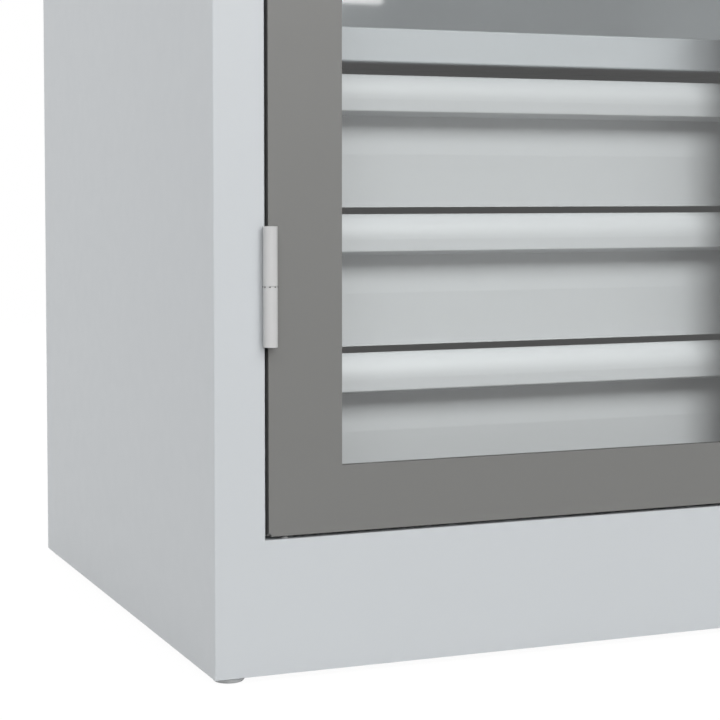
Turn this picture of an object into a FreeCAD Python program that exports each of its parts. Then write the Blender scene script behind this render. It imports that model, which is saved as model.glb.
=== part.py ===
import FreeCAD, Part
import math
import os
import Sketcher

# Heavy-duty cabinet with two glazed wing doors, three drawers behind them and two shelves.
# X runs across the front, Y into the depth, Z up. The origin is on the floor in the middle.
# Millimetres throughout.

doc = FreeCAD.newDocument("drawer_cabinet")
sheet = doc.addObject("Spreadsheet::Sheet", "Sizes")

DRIVING_SIZES = [
    # casing
    ("width", 930),
    ("depth", 500),
    ("height", 1000),
    ("wall", 1.2),
    ("stile_width", 36),
    ("stile_return", 22),
    ("rear_flange", 20),
    ("plinth_height", 92),
    ("plinth_return", 45),
    ("plinth_foot_flange", 30),
    ("top_rail_height", 40),
    ("floor_flange", 20),
    ("wall_hole_radius", 4.5),
    ("wall_hole_spacing", 700),
    ("wall_hole_drop", 60),
    # feet
    ("foot_rise", 4),
    ("foot_inset", 14),
    ("foot_radius", 10.7),
    ("foot_disc", 3.5),
    ("stud_radius", 4),
    ("stud_length", 34),
    ("bracket_thickness", 3),
    ("bracket_depth", 38),
    ("nut_height", 6.5),
    ("nut_radius", 7.5),
    # doors
    ("door_gap", 2.3),
    ("centre_gap", 3),
    ("door_depth", 20),
    ("door_sheet", 1),
    ("relief_radius", 1.2),
    ("relief_depth", 3),
    ("door_lip", 10),
    ("door_stile", 53),
    ("door_rail", 45.6),
    ("stiffener_width", 38),
    ("seal_thickness", 0.8),
    ("seal_width", 8),
    ("pane_thickness", 3),
    ("pane_overlap", 10),
    ("glazing_sheet", 1.2),
    ("glazing_width", 11),
    ("screw_radius", 3),
    ("screw_height", 2),
    ("screw_margin", 60),
    # hinges
    ("hinge_radius", 4.9),
    ("hinge_length", 80.6),
    ("hinge_level", 263),
    ("hinge_inset", 38),
    ("hinge_forward", 5),
    ("hinge_leaf", 1),
    ("pin_radius", 2.5),
    ("pin_length", 70),
    ("washer_thickness", 0.8),
    ("running_gap", 0.1),
    ("fit_gap", 0.05),
    # lock
    ("handle_reach", 38),
    ("handle_level", 526),
    ("handle_inset", 23),
    ("grip_length", 86),
    ("grip_width", 20),
    ("grip_depth", 15),
    ("grip_round", 4),
    ("hub_radius", 11),
    ("spindle_radius", 5),
    ("plate_width", 34),
    ("plate_length", 110),
    ("plate_thickness", 3),
    ("plate_round", 1.2),
    ("cylinder_radius", 7),
    ("cylinder_depth", 13),
    ("key_slot_width", 1.4),
    ("key_slot_length", 7),
    ("cam_thickness", 3),
    ("cam_gap", 0.6),
    ("crank_radius", 8.49),
    ("crank_pin_radius", 2.5),
    ("rod_width", 8),
    ("rod_thickness", 4),
    ("rod_spread", 2),
    ("rod_throw", 12),
    ("rod_set_back", 3),
    ("yoke_play", 0.5),
    ("yoke_wall", 3),
    ("guide_play", 0.3),
    ("guide_height", 12),
    # door stops and glides
    ("stop_height", 14),
    ("stop_width", 24),
    ("stop_gap", 0.3),
    ("stop_inset", 86),
    ("glide_radius", 2.5),
    ("glide_crown", 1.4),
    ("glide_height", 1),
    ("glide_inset", 51.7),
    ("glide_setback", 6),
    # drawers
    ("drawer_bottom", 115),
    ("drawer_pitch", 100),
    ("front_height", 95),
    ("front_sheet", 1.2),
    ("front_inset", 104),
    ("front_setback", 66),
    ("crease_height", 38),
    ("recess_depth", 2),
    ("recess_height", 64),
    ("grip_bar_height", 27),
    ("grip_bar_forward", 14),
    ("grip_bar_curve", 18),
    ("grip_bar_back", 2),
    ("grip_bar_fall", 2.6),
    ("tray_inset", 105),
    ("tray_back_gap", 26.4),
    ("tray_height", 76),
    ("tray_raise", 7),
    ("tray_sheet", 1),
    # runners
    ("runner_sheet", 1.2),
    ("runner_back_gap", 25.6),
    ("runner_start", 72),
    ("runner_outer_height", 36),
    ("runner_space", 17),
    ("runner_outer_flange", 11),
    ("runner_inner_flange", 8),
    ("runner_raise", 13),
    ("ball_radius", 2.3),
    ("ball_play", 0.1),
    ("ball_pitch", 36),
    ("cage_length", 200),
    ("cage_sheet", 0.8),
    ("post_depth", 40),
    ("post_front", 82),
    ("post_back_gap", 47.6),
    # shelves
    ("shelf_setback", 58),
    ("shelf_top", 443),
    ("shelf_height", 24),
    ("shelf_lip", 18),
    ("shelf_sheet", 1.2),
    ("shelf_back_gap", 27.6),
    ("upper_shelf_top", 700),
    ("upper_shelf_gap", 1),
    ("upright_width", 25),
    ("upright_depth", 15),
    ("upright_front", 70),
    ("upright_back_gap", 57.6),
    ("slot_pitch", 25),
    ("slot_height", 12),
    ("slot_width", 5),
    ("clip_reach", 20),
    ("clip_width", 16),
    ("clip_drop", 26),
    ("clip_sheet", 1.5),
]

DRAWER_COUNT = 3
BALLS_PER_ROW = 5
LEFT = -1
RIGHT = 1
SIDE_NAMES = {LEFT: "left", RIGHT: "right"}


class Size:
    """A length with its text for the sheet, so that sums of sizes stay bound to their cells."""

    def __init__(self, text, value):
        self.text = text
        self.value = value

    def joined(self, sign, other, value):
        return Size(f"({self.text} {sign} {other.text})", value)

    def __add__(self, other):
        other = as_size(other)
        return self.joined("+", other, self.value + other.value)

    def __sub__(self, other):
        other = as_size(other)
        return self.joined("-", other, self.value - other.value)

    def __mul__(self, other):
        other = as_size(other)
        return self.joined("*", other, self.value * other.value)

    def __truediv__(self, other):
        other = as_size(other)
        return self.joined("/", other, self.value / other.value)

    def __radd__(self, other):
        return as_size(other) + self

    def __rsub__(self, other):
        return as_size(other) - self

    def __rmul__(self, other):
        return as_size(other) * self

    def __neg__(self):
        return Size(f"(0 - {self.text})", -self.value)


def as_size(number):
    if isinstance(number, Size):
        return number
    return Size(repr(number), float(number))


class Cells:
    """Each driving size by its name, read back from the sheet."""


c = Cells()
for row, (alias, number) in enumerate(DRIVING_SIZES, start=1):
    sheet.set(f"A{row}", alias.replace("_", " "))
    sheet.set(f"B{row}", str(number))
    sheet.setAlias(f"B{row}", alias)
doc.recompute()
for alias, number in DRIVING_SIZES:
    setattr(c, alias, Size(f"Sizes.{alias}", float(getattr(sheet, alias))))

nodes = []


def node(thing, name):
    """Name a finished piece and keep it for the checks and the export."""
    thing.Label = name
    nodes.append(thing)
    return thing


def bind(thing, prop, size):
    thing.setExpression(prop, as_size(size).text)


def slab(name, x, y, z):
    """A block between two faces along each axis."""
    block = doc.addObject("Part::Box", name)
    for prop, span in (("Length", x), ("Width", y), ("Height", z)):
        bind(block, prop, as_size(span[1]) - span[0])
    for axis, span in (("x", x), ("y", y), ("z", z)):
        bind(block, f"Placement.Base.{axis}", span[0])
    return block


TURNS = {
    "X": FreeCAD.Rotation(FreeCAD.Vector(0, 1, 0), 90),
    "Y": FreeCAD.Rotation(FreeCAD.Vector(1, 0, 0), -90),
    "Z": FreeCAD.Rotation(),
}


def bar(name, axis, centre, span, radius):
    """A round bar along an axis. centre holds the two other coordinates, in X, Y, Z order."""
    cylinder = doc.addObject("Part::Cylinder", name)
    cylinder.Placement = FreeCAD.Placement(FreeCAD.Vector(), TURNS[axis])
    bind(cylinder, "Radius", radius)
    bind(cylinder, "Height", as_size(span[1]) - span[0])
    others = [letter for letter in "XYZ" if letter != axis]
    bind(cylinder, f"Placement.Base.{axis.lower()}", span[0])
    for letter, place in zip(others, centre):
        bind(cylinder, f"Placement.Base.{letter.lower()}", place)
    return cylinder


def fused(name, pieces):
    joint = doc.addObject("Part::MultiFuse", name)
    joint.Shapes = pieces
    joint.Refine = True
    return joint


def grouped(name, pieces):
    """Separate solids kept together, such as like fasteners."""
    group = doc.addObject("Part::Compound", name)
    group.Links = pieces
    return group


def carved(name, base, tools):
    tool = tools[0] if len(tools) == 1 else fused(f"{name}_tools", tools)
    cut = doc.addObject("Part::Cut", name)
    cut.Base = base
    cut.Tool = tool
    return cut


def bound_outline(sketch, corners, closed=True):
    """Lines through corners, each bound to the sheet. A third entry marks an arc to the next
    corner that ends in line with the stretch after it."""
    count = len(corners)
    stretches = count if closed else count - 1
    points = [FreeCAD.Vector(as_size(p[0]).value, as_size(p[1]).value, 0) for p in corners]
    for index in range(stretches):
        start = points[index]
        end = points[(index + 1) % count]
        if len(corners[index]) > 2:
            after = points[(index + 2) % count]
            sketch.addGeometry(tangent_arc(start, end, after - end), False)
        else:
            sketch.addGeometry(Part.LineSegment(start, end), False)
    for index in range(stretches):
        following = (index + 1) % count
        if following < stretches:
            ends = (index, end_of(sketch, index, points[following]),
                    following, end_of(sketch, following, points[following]))
            if len(corners[index]) > 2:
                sketch.addConstraint(Sketcher.Constraint("Tangent", *ends))
            else:
                sketch.addConstraint(Sketcher.Constraint("Coincident", *ends))
    for index in range(count):
        place = min(index, stretches - 1)
        vertex = end_of(sketch, place, points[index])
        for kind, number in (("DistanceX", corners[index][0]), ("DistanceY", corners[index][1])):
            size = as_size(number)
            key = sketch.addConstraint(Sketcher.Constraint(kind, place, vertex, size.value))
            label = f"{kind[-1].lower()}_{index}"
            sketch.renameConstraint(key, label)
            sketch.setExpression(f"Constraints.{label}", size.text)
    return sketch


def end_of(sketch, index, point):
    """Which end of a line or arc lies on a point: 1 for its start, 2 for its end."""
    shape = sketch.Geometry[index]
    if shape.StartPoint.distanceToPoint(point) < shape.EndPoint.distanceToPoint(point):
        return 1
    return 2


def tangent_arc(start, end, heading):
    """An arc from start that reaches end along a heading."""
    heading.normalize()
    normal = FreeCAD.Vector(-heading.y, heading.x, 0)
    chord = start - end
    radius = chord.dot(chord) / (2 * chord.dot(normal))
    centre = end + normal * radius
    middle = (start + end) * 0.5 - centre
    middle.normalize()
    return Part.Arc(start, centre + middle * abs(radius), end)


def origin_plane(body, role):
    return [plane for plane in body.Origin.OriginFeatures if plane.Role == role][0]


def body_sketch(body, name, role, corners, level):
    """A closed sketch on one of the body's own planes, moved along that plane's normal."""
    sketch = body.newObject("Sketcher::SketchObject", name)
    sketch.AttachmentSupport = [(origin_plane(body, role), "")]
    sketch.MapMode = "FlatFace"
    bind(sketch, "AttachmentOffset.Base.z", level)
    return bound_outline(sketch, corners)


def rectangle(x, z):
    return [(x[0], z[0]), (x[1], z[0]), (x[1], z[1]), (x[0], z[1])]


def front_pad(body, name, x, z, near, far):
    """A plate seen from the front, between two depths."""
    pad = body.newObject("PartDesign::Pad", name)
    pad.Profile = body_sketch(body, f"{name}_sketch", "XZ_Plane", rectangle(x, z), -as_size(near))
    bind(pad, "Length", as_size(far) - near)
    pad.Reversed = True
    return pad


def front_pocket(body, name, x, z, near, far):
    """A rectangular hollow cut between two depths, near being the nearer to the front."""
    pocket = body.newObject("PartDesign::Pocket", name)
    corners = rectangle(x, z)
    pocket.Profile = body_sketch(body, f"{name}_sketch", "XZ_Plane", corners, -as_size(near))
    bind(pocket, "Length", as_size(far) - near)
    return pocket


def folded(name, role, path, thickness, low, high):
    """Sheet metal folded along an open path and run out straight. Seen along the run, the
    metal lies to the right of the path."""
    sketch = doc.addObject("Sketcher::SketchObject", f"{name}_path")
    if role == "YZ":
        turn = FreeCAD.Rotation(FreeCAD.Vector(1, 1, 1), 120)
        run = "x"
    else:
        turn = FreeCAD.Rotation()
        run = "z"
    sketch.Placement = FreeCAD.Placement(FreeCAD.Vector(), turn)
    bind(sketch, f"Placement.Base.{run}", low)
    bound_outline(sketch, path, closed=False)
    skin = doc.addObject("Part::Offset2D", f"{name}_skin")
    skin.Source = sketch
    skin.Mode = "Skin"
    skin.Fill = True
    skin.Join = "Arc"
    bind(skin, "Value", thickness)
    run_out = doc.addObject("Part::Extrusion", f"{name}_run")
    run_out.Base = skin
    run_out.DirMode = "Custom"
    run_out.Dir = FreeCAD.Vector(1, 0, 0) if role == "YZ" else FreeCAD.Vector(0, 0, 1)
    bind(run_out, "LengthFwd", as_size(high) - low)
    run_out.Solid = True
    return run_out


# Places used by several pieces

front = c.handle_reach / 2 - c.depth / 2
half = c.width / 2
casing_bottom = c.foot_rise


def level(height):
    """A height above the casing's bottom edge."""
    return casing_bottom + height


def behind(distance):
    """A distance behind the front plane."""
    return front + distance


def across(side, near, far):
    """The span between two distances from the outer face of one side."""
    if side == LEFT:
        return (as_size(near) - half, as_size(far) - half)
    return (half - far, half - near)


def place(side, distance):
    return as_size(distance) - half if side == LEFT else half - distance


casing_top = level(c.height)
opening_bottom = level(c.plinth_height)
opening_top = casing_top - c.top_rail_height
between_stiles = (c.stile_width - c.wall - half, half - c.stile_width + c.wall)
back_inner = behind(c.depth - 2 * c.wall)
rod_front = behind(c.door_depth + c.cam_gap + c.cam_thickness + c.cam_gap)
rod_back = rod_front + c.rod_thickness
spindle_x = c.centre_gap / 2 + c.handle_inset
spindle_z = level(c.handle_level)


def rod_passage(name, side, z):
    """The slot that one locking rod enters."""
    x = rod_span(side, c.guide_play)
    return slab(name, x, (rod_front - c.guide_play, rod_back + c.guide_play), z)


def rod_span(side, play):
    """Width of one rod beside the spindle. The upper rod is on the left of it."""
    near = c.rod_spread - play
    far = c.rod_spread + c.rod_width + play
    if side == LEFT:
        return (spindle_x - far, spindle_x - near)
    return (spindle_x + near, spindle_x + far)


# Casing

def make_side_panel(side):
    """Side wall folded to the front stile and the rear flange. The stile's return is notched
    away beside the plinth and the top rail, which butt against its face."""
    name = f"side_panel_{SIDE_NAMES[side]}"
    wall = c.wall
    path = [
        (place(side, c.stile_width - wall), behind(c.stile_return)),
        (place(side, c.stile_width - wall), behind(wall)),
        (place(side, wall), behind(wall)),
        (place(side, wall), behind(c.depth - wall)),
        (place(side, c.rear_flange), behind(c.depth - wall)),
    ]
    if side == LEFT:
        path.reverse()
    sheet = folded(f"{name}_sheet", "XY", path, wall, casing_bottom, casing_top - wall)
    fold = across(side, c.stile_width - wall, c.stile_width)
    notches = []
    for end, z in (("lower", (casing_bottom, opening_bottom)), ("upper", (opening_top, casing_top - wall))):
        notches.append(slab(f"{end}_notch_{SIDE_NAMES[side]}", fold, (front, behind(c.stile_return)), z))
    node(carved(f"notched_sheet_{SIDE_NAMES[side]}", sheet, notches), name)


def make_back_panel():
    """Back sheet inside the rear flanges, with two holes for fixing to a wall."""
    body = doc.addObject("PartDesign::Body", "back_panel")
    x = (c.wall - half, half - c.wall)
    front_pad(body, "back_sheet", x, (casing_bottom, casing_top - c.wall),
              back_inner, back_inner + c.wall)
    doc.recompute()
    holes = body.newObject("Sketcher::SketchObject", "wall_holes_sketch")
    holes.AttachmentSupport = [(origin_plane(body, "XZ_Plane"), "")]
    holes.MapMode = "FlatFace"
    bind(holes, "AttachmentOffset.Base.z", -back_inner)
    for index, sign in enumerate((-1, 1)):
        x_place = c.wall_hole_spacing * (sign * 0.5)
        z_place = casing_top - c.wall_hole_drop
        centre = FreeCAD.Vector(x_place.value, z_place.value, 0)
        normal = FreeCAD.Vector(0, 0, 1)
        holes.addGeometry(Part.Circle(centre, normal, c.wall_hole_radius.value), False)
        for kind, size in (("DistanceX", x_place), ("DistanceY", z_place)):
            key = holes.addConstraint(Sketcher.Constraint(kind, index, 3, size.value))
            holes.renameConstraint(key, f"{kind}_{index}")
            holes.setExpression(f"Constraints.{kind}_{index}", size.text)
        radius = Sketcher.Constraint("Radius", index, c.wall_hole_radius.value)
        key = holes.addConstraint(radius)
        holes.renameConstraint(key, f"radius_{index}")
        holes.setExpression(f"Constraints.radius_{index}", c.wall_hole_radius.text)
    pocket = body.newObject("PartDesign::Pocket", "wall_holes")
    pocket.Profile = holes
    bind(pocket, "Length", c.wall)
    node(body, "back_panel")


def make_top_panel():
    """Top sheet on the side walls, with the front rail hanging between the stiles."""
    wall = c.wall
    top = slab("top_sheet", (-half, half), (front, behind(c.depth)), (casing_top - wall, casing_top))
    rail = slab("top_rail_face", between_stiles, (front, behind(wall)),
                (opening_top, casing_top - wall))
    shelf = slab("top_rail_return", between_stiles, (front, behind(c.plinth_return)),
                 (opening_top, opening_top + wall))
    panel = fused("top_panel_sheets", [top, rail, shelf])
    slot = rod_passage("upper_rod_slot", LEFT, (opening_top - wall, opening_top + 2 * wall))
    node(carved("top_panel", panel, [slot]), "top_panel")


def make_plinth():
    """Plinth between the stiles, flush with them, with its return under the doors."""
    wall = c.wall
    face = slab("plinth_face", between_stiles, (front, behind(wall)), (casing_bottom, opening_bottom))
    shelf = slab("plinth_return_sheet", between_stiles, (front, behind(c.plinth_return)),
                 (opening_bottom - wall, opening_bottom))
    foot = slab("plinth_foot_sheet", between_stiles, (front, behind(c.plinth_foot_flange)),
                (casing_bottom, casing_bottom + wall))
    panel = fused("plinth_sheets", [face, shelf, foot])
    slot = rod_passage("lower_rod_slot", RIGHT, (opening_bottom - 2 * wall, opening_bottom + wall))
    node(carved("plinth_front", panel, [slot]), "plinth_front")


def make_bottom_panel():
    """Floor of the cabinet behind the plinth's return, turned down at the sides and the back."""
    wall = c.wall
    start = behind(c.plinth_return)
    z = (opening_bottom - c.floor_flange, opening_bottom)
    floor = slab("floor_sheet", (wall - half, half - wall), (start, back_inner),
                 (opening_bottom - wall, opening_bottom))
    flanges = [slab(f"floor_flange_{SIDE_NAMES[side]}", across(side, wall, 2 * wall),
                    (start, back_inner), z) for side in (LEFT, RIGHT)]
    rear = slab("floor_flange_rear", (wall - half, half - wall), (back_inner - wall, back_inner), z)
    node(fused("bottom_panel", [floor, rear] + flanges), "bottom_panel")


def foot_places():
    """Name, side and centre of each foot."""
    for side in (LEFT, RIGHT):
        yield f"front_{SIDE_NAMES[side]}", side, place(side, c.foot_inset), behind(c.foot_inset)
    for side in (LEFT, RIGHT):
        rear = behind(c.depth - c.foot_inset - c.wall)
        yield f"rear_{SIDE_NAMES[side]}", side, place(side, c.foot_inset), rear


def make_feet():
    """Corner brackets, weld nuts and the levelling feet that screw in them."""
    brackets = []
    nuts = []
    for name, side, x, y in foot_places():
        bracket_z = (casing_bottom, casing_bottom + c.bracket_thickness)
        nut_z = (bracket_z[1], bracket_z[1] + c.nut_height)
        if name.startswith("front"):
            span = (behind(c.wall), behind(c.wall + c.bracket_depth))
        else:
            span = (back_inner - c.bracket_depth, back_inner)
        plate = slab(f"bracket_plate_{name}", across(side, c.wall, c.stile_width - c.wall),
                     span, bracket_z)
        bore = bar(f"bracket_bore_{name}", "Z", (x, y), bracket_z, c.stud_radius + c.fit_gap)
        brackets.append(carved(f"bracket_{name}", plate, [bore]))
        nut = doc.addObject("Part::Prism", f"nut_blank_{name}")
        nut.Polygon = 6
        bind(nut, "Circumradius", c.nut_radius)
        bind(nut, "Height", c.nut_height)
        bind(nut, "Placement.Base.x", x)
        bind(nut, "Placement.Base.y", y)
        bind(nut, "Placement.Base.z", nut_z[0])
        thread = bar(f"nut_bore_{name}", "Z", (x, y), nut_z, c.stud_radius + c.fit_gap)
        nuts.append(carved(f"nut_{name}", nut, [thread]))
        make_foot(name, x, y)
    node(grouped("foot_brackets", brackets), "foot_brackets")
    node(grouped("foot_nuts", nuts), "foot_nuts")


def make_foot(name, x, y):
    """Turned disc with its threaded stud."""
    body = doc.addObject("PartDesign::Body", f"levelling_foot_{name}")
    edge = c.foot_disc / 4
    profile = [
        (0, 0),
        (c.foot_radius - edge, 0),
        (c.foot_radius, edge),
        (c.foot_radius, c.foot_disc - edge),
        (c.foot_radius - edge, c.foot_disc),
        (c.stud_radius, c.foot_disc),
        (c.stud_radius, c.stud_length),
        (0, c.stud_length),
    ]
    sketch = body_sketch(body, f"foot_profile_{name}", "XZ_Plane", profile, -y)
    bind(sketch, "AttachmentOffset.Base.x", x)
    turned = body.newObject("PartDesign::Revolution", f"foot_turned_{name}")
    turned.Profile = sketch
    turned.ReferenceAxis = (sketch, ["V_Axis"])
    turned.Angle = 360
    node(body, f"levelling_foot_{name}")


# Doors

door_width = (c.width - 2 * c.stile_width - 2 * c.door_gap - c.centre_gap) / 2
door_near = c.stile_width + c.door_gap
door_far = door_near + door_width
door_z = (opening_bottom + c.door_gap, opening_top - c.door_gap)
pane_front = behind(c.door_sheet + c.seal_thickness)
pane_back = pane_front + c.pane_thickness


def window_span(side, grow):
    """The window's width on one door, grown by an overlap."""
    return across(side, door_near + c.door_stile - grow, door_far - c.door_stile + grow)


def window_height(grow):
    return (door_z[0] + c.door_rail - grow, door_z[1] - c.door_rail + grow)


def make_door_panel(side):
    """Door sheet folded back on its four edges and lipped inwards, with the window cut out."""
    name = SIDE_NAMES[side]
    skin = c.door_sheet
    lip = c.door_lip
    body = doc.addObject("PartDesign::Body", f"door_leaf_{name}")
    back = behind(c.door_depth)
    front_pad(body, f"door_blank_{name}", across(side, door_near, door_far), door_z, front, back)
    front_pocket(body, f"door_cavity_{name}", across(side, door_near + skin, door_far - skin),
                 (door_z[0] + skin, door_z[1] - skin), front + skin, back - skin)
    front_pocket(body, f"door_mouth_{name}", across(side, door_near + lip, door_far - lip),
                 (door_z[0] + lip, door_z[1] - lip), back - skin, back)
    front_pocket(body, f"door_window_{name}", window_span(side, 0), window_height(0),
                 front, front + skin)
    cuts = []
    inset = c.relief_radius / 2
    for number, x in enumerate(across(side, door_near + inset, door_far - inset), start=1):
        for end, z in (("lower", door_z[0] + inset), ("upper", door_z[1] - inset)):
            cuts.append(bar(f"{end}_relief_{number}_{name}", "Y", (x, z), (front, front + c.relief_depth),
                            c.relief_radius))
    if side == RIGHT:
        cuts.append(bar("door_spindle_hole", "Y", (spindle_x, spindle_z), (front, front + skin),
                        c.spindle_radius + 2 * c.fit_gap))
    node(carved(f"door_panel_cut_{name}", body, cuts), f"door_panel_{name}")


def make_stiffener(side):
    """Channel behind the closing stile of a door."""
    name = SIDE_NAMES[side]
    skin = c.door_sheet
    near = c.centre_gap / 2 + skin
    far = near + c.stiffener_width
    if side == RIGHT:
        flank = [near, far]
    else:
        flank = [-far, -near]
    y_web = behind(c.door_depth - 2 * skin)
    path = [
        (flank[0] + skin, front + skin),
        (flank[0] + skin, y_web),
        (flank[1] - skin, y_web),
        (flank[1] - skin, front + skin),
    ]
    path.reverse()
    z = (door_z[0] + skin, door_z[1] - skin)
    channel = folded(f"door_stiffener_{name}", "XY", path, skin, *z)
    if side == LEFT:
        node(channel, f"door_stiffener_{name}")
        return
    hole = bar("stiffener_hole", "Y", (spindle_x, spindle_z), (y_web, y_web + skin),
               c.spindle_radius + 2 * c.fit_gap)
    node(carved("stiffener_drilled", channel, [hole]), f"door_stiffener_{name}")


def ring(name, side, outer, inner, near, far):
    """A flat frame around the window."""
    blank = slab(f"{name}_blank", window_span(side, outer), (near, far), window_height(outer))
    hole = slab(f"{name}_hole", window_span(side, inner), (near, far), window_height(inner))
    return carved(name, blank, [hole])


def make_glazing(side):
    """Seal, pane, glazing frame and its screws."""
    name = SIDE_NAMES[side]
    seal = ring(f"window_seal_{name}", side, c.seal_width, 0, behind(c.door_sheet), pane_front)
    node(seal, f"window_seal_{name}")
    body = doc.addObject("PartDesign::Body", f"window_pane_{name}")
    front_pad(body, f"pane_{name}", window_span(side, c.pane_overlap),
              window_height(c.pane_overlap), pane_front, pane_back)
    node(body, f"window_pane_{name}")
    frame_back = pane_back + c.glazing_sheet
    outer = c.glazing_width
    frame = ring(f"glazing_frame_{name}", side, outer, 0, pane_back, frame_back)
    node(frame, f"glazing_frame_{name}")
    screws = []
    x = window_span(side, outer / 2)
    z = window_height(outer / 2)
    middle_x = (x[0] + x[1]) / 2
    heights = [z[0] + c.screw_margin, (z[0] + z[1]) / 2, z[1] - c.screw_margin]
    spots = [(x_place, z_place) for x_place in x for z_place in heights]
    spots += [(middle_x, z_place) for z_place in z]
    for index, spot in enumerate(spots):
        screws.append(bar(f"glazing_screw_{name}_{index}", "Y", spot,
                          (frame_back, frame_back + c.screw_height), c.screw_radius))
    node(grouped(f"glazing_screws_{name}", screws), f"glazing_screws_{name}")


# Hinges

def hinge_levels():
    """Height of the middle of the lower and the upper hinge."""
    lower = level(c.hinge_level)
    return [lower, opening_bottom + opening_top - lower]


def hinge_centre(side):
    return (place(side, c.hinge_inset), front - c.hinge_forward)


def knuckle(name, side, leaf_x, z, bore_radius, bore_z):
    """Half a barrel with its leaf in the gap beside the door."""
    leaf_y = (front - c.hinge_forward, behind(c.door_depth))
    barrel = bar(f"{name}_barrel", "Z", hinge_centre(side), z, c.hinge_radius)
    leaf = slab(f"{name}_leaf", leaf_x, leaf_y, z)
    bore = bar(f"{name}_bore", "Z", hinge_centre(side), bore_z, bore_radius)
    return carved(name, fused(f"{name}_blank", [barrel, leaf]), [bore])


def make_hinges():
    """Lift-off hinges: the frame half below, the door half above, on one pin."""
    frame_halves = []
    pins = []
    washers = []
    for side in (LEFT, RIGHT):
        door_halves = []
        for number, middle in enumerate(hinge_levels(), start=1):
            name = f"{SIDE_NAMES[side]}_{number}"
            reach = c.hinge_length / 2
            seat = middle - c.washer_thickness / 2
            lift = seat + c.washer_thickness + c.running_gap
            pin_z = (middle - c.pin_length / 2, middle + c.pin_length / 2)
            frame_x = across(side, c.stile_width, c.stile_width + c.hinge_leaf)
            door_x = across(side, door_near - c.hinge_leaf, door_near)
            frame_halves.append(knuckle(f"frame_knuckle_{name}", side, frame_x,
                                        (middle - reach, seat), c.pin_radius, (pin_z[0], seat)))
            door_halves.append(knuckle(f"door_knuckle_{name}", side, door_x,
                                       (lift, middle + reach), c.pin_radius + c.fit_gap,
                                       (lift, pin_z[1] + c.running_gap)))
            centre = hinge_centre(side)
            pins.append(bar(f"hinge_pin_{name}", "Z", centre, pin_z, c.pin_radius))
            disc = bar(f"washer_disc_{name}", "Z", centre, (seat, seat + c.washer_thickness),
                       c.hinge_radius - c.running_gap)
            hole = bar(f"washer_hole_{name}", "Z", centre, (seat, seat + c.washer_thickness),
                       c.pin_radius)
            washers.append(carved(f"washer_{name}", disc, [hole]))
        group = grouped(f"door_hinge_halves_{SIDE_NAMES[side]}", door_halves)
        node(group, f"door_hinge_halves_{SIDE_NAMES[side]}")
    node(grouped("frame_hinge_halves", frame_halves), "frame_hinge_halves")
    node(grouped("hinge_pins", pins), "hinge_pins")
    node(grouped("hinge_washers", washers), "hinge_washers")


def make_stops():
    """Angle stops behind the doors and glide buttons under them."""
    stops = []
    glides = []
    stop_y = behind(c.door_depth + c.stop_gap)
    for side in (LEFT, RIGHT):
        x = across(side, c.stop_inset, c.stop_inset + c.stop_width)
        ends = (("lower", opening_bottom, 1), ("upper", opening_top, -1))
        for name, z, way in ends:
            tall = sorted_span(z, z + way * c.stop_height)
            flat = sorted_span(z, z + way * c.wall)
            upright = slab(f"stop_face_{name}_{SIDE_NAMES[side]}", x, (stop_y, stop_y + c.wall), tall)
            seat = slab(f"stop_seat_{name}_{SIDE_NAMES[side]}", x,
                        (stop_y, behind(c.plinth_return)), flat)
            stops.append(fused(f"door_stop_{name}_{SIDE_NAMES[side]}", [upright, seat]))
        glides.append(glide_button(f"door_glide_{SIDE_NAMES[side]}",
                                   (place(side, c.glide_inset), behind(c.glide_setback), opening_bottom)))
    node(grouped("door_stops", stops), "door_stops")
    node(grouped("door_glides", glides), "door_glides")


def glide_button(name, seat):
    """Low round button that narrows towards its crown."""
    button = doc.addObject("Part::Cone", name)
    for prop, size in (("Radius1", c.glide_radius), ("Radius2", c.glide_crown), ("Height", c.glide_height)):
        bind(button, prop, size)
    for axis, size in zip("xyz", seat):
        bind(button, f"Placement.Base.{axis}", size)
    return button


def sorted_span(one, other):
    return (one, other) if one.value < other.value else (other, one)


# Lock

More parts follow.
